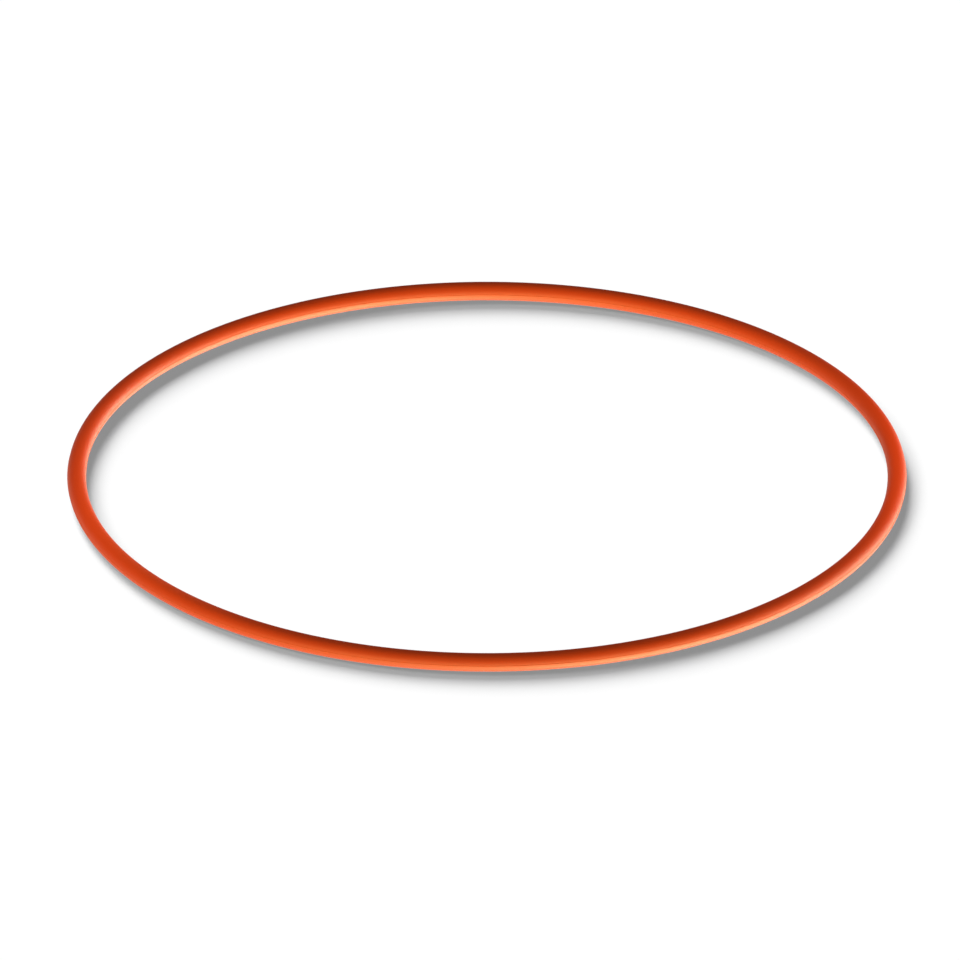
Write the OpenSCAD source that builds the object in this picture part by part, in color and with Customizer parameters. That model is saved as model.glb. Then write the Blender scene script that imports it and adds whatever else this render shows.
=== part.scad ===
// A silicone o-ring, moulded in one piece: a round section swept round a circle, with the thin
// stub of flash that trimming leaves where the two halves of the mould met, at the inside and
// outside diameters. The ring's axis is Z, and the origin is the centre of the ring.

/* [Ring] */
// Inside diameter, measured across the round section and not its flash
inside_d = 151.99; // [20:0.01:400]
// Diameter of the round section
section_d = 3.53; // [1.5:0.01:12]

/* [Parting line] */
// Thickness of the flash, which is the gap that the closed mould leaves
flash_t = 0.10; // [0.04:0.01:0.3]
// Height of the trimmed flash above the round section
flash_h = 0.06; // [0.02:0.01:0.12]

/* [Hidden] */

// Radius of the circle that the centre of the section follows
mean_r = (inside_d + section_d) / 2;
// Facets of the section and of the ring, in previews
section_fn = 96;
ring_fn = 360;
silicone_orange = [0.784, 0.220, 0.024];

// The section as it leaves the mould: a full round, crossed at mid height by the film of rubber
// that fills the parting line and is sheared off just proud of the round on both sides.
module moulded_section() {
    circle(d = section_d, $fn = section_fn);
    square([section_d + 2 * flash_h, flash_t], center = true);
}

module o_ring() {
    color(silicone_orange)
        rotate_extrude($fn = ring_fn)
            translate([mean_r, 0])
                moulded_section();
}

o_ring();
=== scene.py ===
# A silicone o-ring lying on a white sheet, seen along parallel lines as a catalogue drawing shows it.
import math

import bpy
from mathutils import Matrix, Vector


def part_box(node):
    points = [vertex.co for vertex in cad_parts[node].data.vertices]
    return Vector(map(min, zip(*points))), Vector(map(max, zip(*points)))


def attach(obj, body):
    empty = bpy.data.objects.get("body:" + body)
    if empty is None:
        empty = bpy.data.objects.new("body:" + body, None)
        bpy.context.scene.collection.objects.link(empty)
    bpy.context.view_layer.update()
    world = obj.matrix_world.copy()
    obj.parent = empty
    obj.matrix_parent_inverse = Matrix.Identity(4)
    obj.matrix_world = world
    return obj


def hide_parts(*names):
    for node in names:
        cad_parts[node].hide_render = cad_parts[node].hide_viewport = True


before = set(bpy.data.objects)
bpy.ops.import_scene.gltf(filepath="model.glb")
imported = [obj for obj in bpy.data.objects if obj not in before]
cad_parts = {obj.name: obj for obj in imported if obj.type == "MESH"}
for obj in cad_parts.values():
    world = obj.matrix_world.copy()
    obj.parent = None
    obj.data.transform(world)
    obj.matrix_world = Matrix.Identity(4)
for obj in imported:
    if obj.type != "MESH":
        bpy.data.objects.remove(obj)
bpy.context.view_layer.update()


# The moulded ring: the whole object, one piece of orange silicone rubber. It is cured in a two-part
# steel mould that closes at mid height. The film of rubber between the mould's halves is trimmed
# afterwards and leaves a stub of flash at the inside and the outside diameter.
MM = 0.001  # the frame is in metres
low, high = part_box("o_ring")
FLASH_THICK = 0.10 * MM
FLASH_HIGH = 0.06 * MM
SECTION_R = (high.z - low.z) / 2
MEAN_R = high.x - FLASH_HIGH - SECTION_R
TURNS_IN_MAP = 7  # the ring is unrolled into this many equal strips, which fill a square picture
RING_STEPS = TURNS_IN_MAP * 112
SECTION_STEPS = 96
CROWDING = 0.45  # how far the section's points crowd towards the parting line, below 0.5
TORN_SIZE = 3.5 * MM  # length of the ups and downs that trimming leaves along the flash
TORN_DEPTH = 0.45  # the share of the flash's height that they take
SEED = 3.0  # of the torn edge


class Field:
    """What a node puts out, as a term in a formula. Each operator adds one Math node."""

    def __init__(self, graph, socket):
        self.graph = graph
        self.socket = socket

    def math(self, operation, *others):
        terms = dict(enumerate((self, *others)))
        return self.graph.out(0, "ShaderNodeMath", {"operation": operation}, terms)

    def __add__(self, other):
        return self.math("ADD", other)

    def __sub__(self, other):
        return self.math("SUBTRACT", other)

    def __rsub__(self, other):
        return self.math("MULTIPLY", -1.0) + other

    def __mul__(self, other):
        return self.math("MULTIPLY", other)

    def __rtruediv__(self, other):
        return self.math("POWER", -1.0) * other

    __radd__ = __add__
    __rmul__ = __mul__


class Graph:
    """One node tree, with a method that adds any node to it."""

    def __init__(self, tree):
        self.tree = tree

    def node(self, kind, settings=None, inputs=None):
        """Adds a node. Its settings come first, and inputs holds values or links by name or place."""
        node = self.tree.nodes.new(kind)
        for name, value in (settings or {}).items():
            setattr(node, name, value)
        self.feed(node, inputs or {})
        return node

    def feed(self, node, inputs):
        for place, value in inputs.items():
            if isinstance(value, Field):
                self.tree.links.new(value.socket, node.inputs[place])
            else:
                node.inputs[place].default_value = value

    def out(self, output, kind, settings=None, inputs=None):
        """Adds a node and gives back one of its outputs."""
        return Field(self, self.node(kind, settings, inputs).outputs[output])

    def xyz(self, vector):
        parts = self.node("ShaderNodeSeparateXYZ", inputs={0: vector})
        return [Field(self, parts.outputs[axis]) for axis in "XYZ"]

    def vector(self, x, y, z):
        return self.out(0, "ShaderNodeCombineXYZ", inputs={0: x, 1: y, 2: z})

    def step(self, value, start, end):
        """Rises smoothly from 0 at start to 1 at end, or falls where end is below start."""
        ends = {"Value": value, "From Min": start, "From Max": end}
        return self.out(0, "ShaderNodeMapRange", {"interpolation_type": "SMOOTHSTEP"}, ends)

    def noise(self, vector, w, scale, detail):
        """Seamless noise from 0 to 1 in four dimensions, so that w can be a seed or a direction."""
        inputs = {"Vector": vector, "W": w, "Scale": scale, "Detail": detail}
        return self.out(0, "ShaderNodeTexNoise", {"noise_dimensions": "4D"}, inputs)


def moulded_ring_tree():
    """Sweeps a round section round a circle, and raises the trimmed flash on it."""
    tree = bpy.data.node_groups.new("moulded_ring", "GeometryNodeTree")
    tree.interface.new_socket("Mesh", in_out="OUTPUT", socket_type="NodeSocketGeometry")
    g = Graph(tree)
    given = {}
    for name, kind in (
        ("Ring radius", "Float"),
        ("Section radius", "Float"),
        ("Flash thickness", "Float"),
        ("Flash height", "Float"),
        ("Torn size", "Float"),
        ("Torn depth", "Float"),
        ("Crowding", "Float"),
        ("Ring steps", "Int"),
        ("Section steps", "Int"),
        ("Seed", "Float"),
        ("Material", "Material"),
    ):
        tree.interface.new_socket(name, in_out="INPUT", socket_type="NodeSocket" + kind)
    entry = g.node("NodeGroupInput")
    for socket in entry.outputs[:-1]:
        given[socket.name] = Field(g, socket)

    circle = "GeometryNodeCurvePrimitiveCircle"
    ring_sizes = {"Resolution": given["Ring steps"], "Radius": given["Ring radius"]}
    section_sizes = {"Resolution": given["Section steps"], "Radius": given["Section radius"]}
    path = g.out(0, circle, None, ring_sizes)
    section = g.out(0, circle, None, section_sizes)
    swept = g.out(0, "GeometryNodeCurveToMesh", None, {0: path, 1: section})

    # Where a point stands: its angle along the ring, and its angle round the section.
    position = g.out(0, "GeometryNodeInputPosition")
    x, y, z = g.xyz(position)
    along = y.math("ARCTAN2", x)
    outwards = (x * x + y * y).math("SQRT") - given["Ring radius"]
    even = z.math("ARCTAN2", outwards)
    angle = even - given["Crowding"] * (even * 2.0).math("SINE")

    # The flash stands where the section is less high than half its thickness. It slopes down to the
    # round section, from half of that height to one and a half times it.
    half = given["Flash thickness"] * 0.5
    height = (angle.math("SINE") * given["Section radius"]).math("ABSOLUTE")
    film = g.step(height, half * 1.5, half * 0.5)
    smallest = 0.1 * MM
    torn_scale = 1.0 / given["Torn size"].math("MAXIMUM", smallest)
    torn = g.noise(position, given["Seed"], torn_scale, 2.0)
    left = 1.0 - given["Torn depth"] * torn
    reach = given["Section radius"] + given["Flash height"] * film * left

    from_axis = given["Ring radius"] + angle.math("COSINE") * reach
    across, deep = from_axis * along.math("COSINE"), from_axis * along.math("SINE")
    place = g.vector(across, deep, angle.math("SINE") * reach)
    shaped = g.out(0, "GeometryNodeSetPosition", None, {"Geometry": swept, "Position": place})
    smooth = g.out(0, "GeometryNodeSetShadeSmooth", None, {"Geometry": shaped})
    real = g.out(0, "GeometryNodeRealizeInstances", None, {"Geometry": smooth})
    dressed = g.out(0, "GeometryNodeSetMaterial", None, {"Geometry": real, "Material": given["Material"]})
    g.node("NodeGroupOutput", None, {0: dressed})
    return tree


def made_by(tree, name, values):
    """Runs a geometry tree with these values and gives back an object that holds its plain mesh."""
    source = bpy.data.objects.new(name + "_source", bpy.data.meshes.new(name + "_source"))
    bpy.context.scene.collection.objects.link(source)
    modifier = source.modifiers.new(name, "NODES")
    modifier.node_group = tree
    for item in tree.interface.items_tree:
        if item.in_out == "INPUT":
            modifier[item.identifier] = values[item.name]
    evaluated = source.evaluated_get(bpy.context.evaluated_depsgraph_get())
    mesh = bpy.data.meshes.new_from_object(evaluated)
    bpy.data.objects.remove(source)
    piece = bpy.data.objects.new(name, mesh)
    bpy.context.scene.collection.objects.link(piece)
    return piece


def unroll(mesh):
    """Lays the ring out as equal strips, one above another, cut where it lies on the sheet."""
    turn = 2 * math.pi
    margin_along, margin_round = 0.004, 0.03
    spots = [
        (
            math.atan2(v.co.y, v.co.x) / turn % 1.0,
            (math.atan2(v.co.z, math.hypot(v.co.x, v.co.y) - MEAN_R) / turn + 0.25) % 1.0,
        )
        for v in mesh.vertices
    ]
    layer = mesh.uv_layers.new(name="OFBake").data
    for face in mesh.polygons:
        ends = [spots[v] for v in face.vertices]
        # A face that crosses the cut has corners at both ends of the range.
        wraps = [max(e[k] for e in ends) - min(e[k] for e in ends) > 0.5 for k in (0, 1)]
        ends = [[e[k] + (wraps[k] and e[k] < 0.5) for k in (0, 1)] for e in ends]
        strip = int(sum(e[0] for e in ends) / len(ends) * TURNS_IN_MAP)
        for loop, (u, v) in zip(face.loop_indices, ends):
            along = margin_along + (1 - 2 * margin_along) * (u * TURNS_IN_MAP - strip)
            around = margin_round + (1 - 2 * margin_round) * v
            layer[loop].uv = along, (strip % TURNS_IN_MAP + around) / TURNS_IN_MAP


def silicone_rubber():
    """Pigmented silicone: a deep orange, slightly clouded, with the satin skin of a polished mould."""
    material = bpy.data.materials.new("silicone_rubber")
    material.use_nodes = True
    g = Graph(material.node_tree)
    position = g.out("Object", "ShaderNodeTexCoord")
    x, y, z = g.xyz(position)
    outwards = (x * x + y * y).math("SQRT") - MEAN_R

    # The pigment is stirred in and doesn't spread quite evenly. Every pattern's scale is per metre.
    clouds_scale = 70.0
    clouds = g.noise(position, 1.0, clouds_scale, 3.0)
    deep = (0.560, 0.0315, 0.0003, 1)
    pale = (0.600, 0.0350, 0.0005, 1)
    rubber = g.node("ShaderNodeMix", {"data_type": "RGBA"}, {0: clouds, 6: deep, 7: pale})
    rubber = Field(g, rubber.outputs[2])

    # The trimmed edge of the flash is rough, and looks a little paler.
    inside_film = g.step(z.math("ABSOLUTE"), 0.75 * FLASH_THICK, 0.45 * FLASH_THICK)
    proud = g.step(outwards.math("ABSOLUTE"), SECTION_R, SECTION_R + 0.4 * FLASH_HIGH)
    trimmed = inside_film * proud
    torn = (0.640, 0.065, 0.006, 1)
    colour = g.node("ShaderNodeMix", {"data_type": "RGBA"}, {0: trimmed, 6: rubber, 7: torn})

    # The mould's cavity was turned and polished. Its finest lines run along the ring.
    across_lines, along_lines = 4500.0, 60.0
    section_place = [outwards * across_lines, z * across_lines, x * along_lines]
    lines = g.noise(g.vector(*section_place), y * along_lines, 1.0, 2.0)
    grain_scale = 5200.0
    grain = g.noise(position, 2.0, grain_scale, 2.0)
    skin = lines * 0.5 + grain * 0.5
    skin_depth = 0.004 * MM
    bump = {"Height": skin, "Distance": skin_depth, "Strength": 1.0}
    satin, satin_varies, trimmed_adds, patches_scale = 0.60, 0.08, 0.2, 160.0
    patches = g.noise(position, 3.0, patches_scale, 2.0)

    shader = material.node_tree.nodes["Principled BSDF"]
    varying = {
        "Base Color": Field(g, colour.outputs[2]),
        "Roughness": satin + satin_varies * patches + trimmed_adds * trimmed,
        "Normal": g.out(0, "ShaderNodeBump", None, bump),
    }
    # The index is silicone's. The level and the tint are chosen for the drawing's colours.
    fixed = {
        "IOR": 1.41,
        "Specular IOR Level": 0.8,
        "Specular Tint": (1.0, 1.0, 0.30, 1),
    }
    g.feed(shader, varying | fixed)
    return material


ring = made_by(
    moulded_ring_tree(),
    "moulded_ring",
    {
        "Ring radius": MEAN_R,
        "Section radius": SECTION_R,
        "Flash thickness": FLASH_THICK,
        "Flash height": FLASH_HIGH,
        "Torn size": TORN_SIZE,
        "Torn depth": TORN_DEPTH,
        "Crowding": CROWDING,
        "Ring steps": RING_STEPS,
        "Section steps": SECTION_STEPS,
        "Seed": SEED,
        "Material": silicone_rubber(),
    },
)
unroll(ring.data)
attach(ring, "root")
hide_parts("o_ring")


# The sheet that the ring lies on: plain matt white paper. It shows the ring's shadow to the camera.
# It takes no part in lighting the ring, and the ring throws no light back on it.
SHEET_SIDE = 3.0
PAPER_WHITE = 0.95
corner_signs = ((-1, -1), (1, -1), (1, 1), (-1, 1))
corners = [(x * SHEET_SIDE / 2, y * SHEET_SIDE / 2, low.z) for x, y in corner_signs]
sheet_mesh = bpy.data.meshes.new("sheet")
sheet_mesh.from_pydata(corners, [], [(0, 1, 2, 3)])
sheet = bpy.data.objects.new("sheet", sheet_mesh)
bpy.context.scene.collection.objects.link(sheet)
paper = bpy.data.materials.new("paper")
paper.use_nodes = True
paper_look = {
    "Base Color": (PAPER_WHITE, PAPER_WHITE, PAPER_WHITE, 1),
    "Roughness": 1.0,
    "Specular IOR Level": 0.0,
}
Graph(paper.node_tree).feed(paper.node_tree.nodes["Principled BSDF"], paper_look)
sheet_mesh.materials.append(paper)
sheet.visible_diffuse = False
sheet.visible_glossy = False
sheet.visible_shadow = False
ring.visible_diffuse = False


# The camera: it looks down from 27 degrees above the sheet, along parallel lines, because the far
# side of the ring is as thick as the near side. The pixels are those of a picture 960 pixels wide.
ELEVATION = math.radians(26.91)
PICTURE_PX = 960
RING_PX = 839.0
RIGHT_OF_MIDDLE_PX = 6.9
ABOVE_MIDDLE_PX = 3.35
back = Vector((0, -math.cos(ELEVATION), math.sin(ELEVATION)))
right = Vector((1, 0, 0))
up = back.cross(right)
camera = bpy.data.objects.new("camera", bpy.data.cameras.new("camera"))
bpy.context.scene.collection.objects.link(camera)
camera.data.type = "ORTHO"
camera.data.ortho_scale = 2 * (MEAN_R + SECTION_R) * PICTURE_PX / RING_PX
pixel = camera.data.ortho_scale / PICTURE_PX
camera.location = back - (right * RIGHT_OF_MIDDLE_PX + up * ABOVE_MIDDLE_PX) * pixel
camera.rotation_euler = back.to_track_quat("Z", "Y").to_euler()
bpy.context.scene.camera = camera


# The light: a dim room over a white table, and three lamps that throw the ring's shadow on the sheet.
# Nine more light the ring alone. Three small ones close over its two ends and two far ones give soft
# light and no shine, and four far ones only the satin shine. These six far ones are under the sheet.
STUDIO_LEVEL = 0.28  # what the room alone gives to a surface that faces up, where 1 is white
TABLE_LEVEL = 0.80  # the same from below, off the white table
MIRRORED_ROOM = 0.06  # the room in the ring's shine, dim so that it lays no veil on the orange
PAPER_LEVEL = 1.02  # how bright the sheet is away from the shadow
HORIZON_SOFT = 0.02  # how far above the horizon the room starts to turn into the table
BROAD = 40  # degrees that a far lamp fills where it lights the ring
DISK_WIDE = 40 * MM  # across a small lamp
bpy.context.scene.view_settings.view_transform = "Standard"


def lamp(name, thing, place, from_aim, light):
    """Places a lamp that lights one thing."""
    made = bpy.data.objects.new(name, light)
    made.location = place
    made.rotation_euler = from_aim.to_track_quat("Z", "Y").to_euler()
    bpy.context.scene.collection.objects.link(made)
    lit = bpy.data.collections.new("lit_by_" + name)
    lit.objects.link(thing)
    made.light_linking.receiver_collection = lit
    return made


def far_lamp(name, thing, azimuth, elevation, level, width):
    """Azimuth 0 is the camera's side and 90 the right. Width is the angle that the lamp fills, and
    level is the light on a surface that faces it, where 1 is white."""
    a, e = math.radians(azimuth), math.radians(elevation)
    towards = Vector((math.sin(a) * math.cos(e), -math.cos(a) * math.cos(e), math.sin(e)))
    light = bpy.data.lights.new(name, "SUN")
    light.energy = level * math.pi
    light.angle = math.radians(width)
    return lamp(name, thing, Vector(), towards, light)


def near_lamp(name, thing, aim, offset, level):
    """A small round lamp close over a spot of the thing, with the given level at that height."""
    light = bpy.data.lights.new(name, "AREA")
    light.shape = "DISK"
    light.size = DISK_WIDE
    light.energy = level * (math.pi * offset.z) ** 2
    return lamp(name, thing, aim + offset, offset, light)


for name, azimuth, elevation, share, width in (
    ("shadow_lamp", -155, 32, 0.61, 36),
    ("low_shadow_lamp", -165, 24, 0.24, 20),
    ("left_shadow_lamp", -98, 40, 0.15, 20),
):
    level = share * (PAPER_LEVEL / PAPER_WHITE - STUDIO_LEVEL) / math.sin(math.radians(elevation))
    far_lamp(name, sheet, azimuth, elevation, level, width)

right_end, left_end = Vector((MEAN_R, 0, 0)), Vector((-MEAN_R, 0, 0))
for soft in (
    far_lamp("right_lamp", ring, 90, -15, 0.94, BROAD),
    far_lamp("front_lamp", ring, -20, -15, 0.82, BROAD),
    near_lamp("right_end_lamp", ring, right_end, Vector((0.02, 0.01, 0.06)), 1.05),
    near_lamp("left_end_lamp", ring, left_end, Vector((0, -0.03, 0.06)), 0.78),
    near_lamp("close_left_end_lamp", ring, left_end, Vector((0.03, -0.01, 0.03)), 0.72),
):
    soft.visible_glossy = False
for shine in (
    far_lamp("front_shine", ring, 30, -50, 1.85, BROAD),
    far_lamp("right_shine", ring, 90, -50, 1.65, BROAD),
    far_lamp("left_shine", ring, -30, -15, 0.50, BROAD),
    far_lamp("back_shine", ring, 120, -15, 1.05, BROAD),
):
    shine.visible_diffuse = False

world = bpy.data.worlds.new("studio")
world.use_nodes = True
bpy.context.scene.world = world
g = Graph(world.node_tree)
rays = g.node("ShaderNodeLightPath").outputs
camera_ray = Field(g, rays["Is Camera Ray"])
mirrored = Field(g, rays["Is Glossy Ray"]).math("MAXIMUM", Field(g, rays["Is Transmission Ray"]))
x, y, z = g.xyz(g.out("Generated", "ShaderNodeTexCoord"))
below = g.step(z, HORIZON_SOFT, -HORIZON_SOFT)
seen = camera_ray.math("MAXIMUM", mirrored * below)
room = STUDIO_LEVEL + (MIRRORED_ROOM - STUDIO_LEVEL) * mirrored
lit = room + (TABLE_LEVEL - room) * below
level = lit + (1 - lit) * seen
g.feed(world.node_tree.nodes["Background"], {"Color": (1, 1, 1, 1), "Strength": level})
